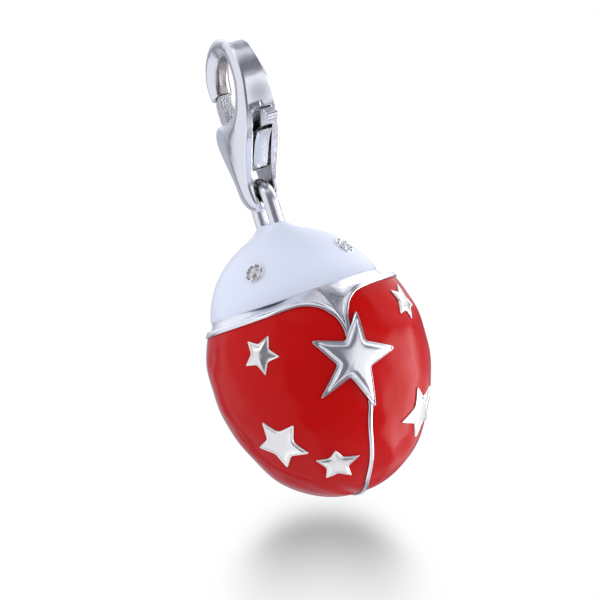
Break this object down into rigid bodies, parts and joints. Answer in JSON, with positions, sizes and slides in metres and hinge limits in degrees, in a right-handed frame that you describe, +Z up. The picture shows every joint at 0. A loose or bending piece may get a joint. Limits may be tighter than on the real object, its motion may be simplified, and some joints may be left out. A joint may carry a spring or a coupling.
{
  "type": "enamelled egg charm on a lobster clasp",
  "caption": "Egg-shaped charm with white and red enamel, inlaid silver stars and stone eyes, hanging by a small bail from a sprung lobster clasp.",
  "frame": {"origin": "the seat inside the top of the clasp's hook, where the charm hangs", "axes": "+Z up along the hanging line, -Y towards the large star and the clasp's thumb tab, +X to the viewer's right of the star"},
  "size_m": [0.0144, 0.0153, 0.0305],
  "materials": {
    "silver_egg": "polished silver",
    "white_enamel": "glossy white enamel",
    "red_enamel": "glossy translucent red enamel",
    "clear_stone": "faceted clear stone",
    "silver_clasp": "polished silver",
    "spring_steel": "bright rolled strip"
  },
  "bodies": {
    "clasp": {"clasp_body": "silver_clasp", "clasp_pin": "silver_clasp", "clasp_spring": "spring_steel"},
    "lever": {"clasp_lever": "silver_clasp"},
    "egg": {"egg_casting": "silver_egg", "enamel_head": "white_enamel", "enamel_wing_left": "red_enamel", "enamel_wing_right": "red_enamel", "eye_stone_left": "clear_stone", "eye_stone_right": "clear_stone"}
  },
  "joints": [
    {"name": "lever_hinge", "type": "hinge", "parent": "clasp", "child": "lever", "pos_m": [0, 0.002, -0.005], "axis": [1, 0, 0], "range_deg": [0, 20], "stiffness_Nm_per_rad": 0.004, "springref_deg": -17.19, "deforming": ["clasp_spring"]},
    {"name": "egg_swing", "type": "hinge", "parent": "clasp", "child": "egg", "pos_m": [0, 0.0015, -0.00964], "axis": [1, 0, 0], "range_deg": [-64, 70]}
  ]
}
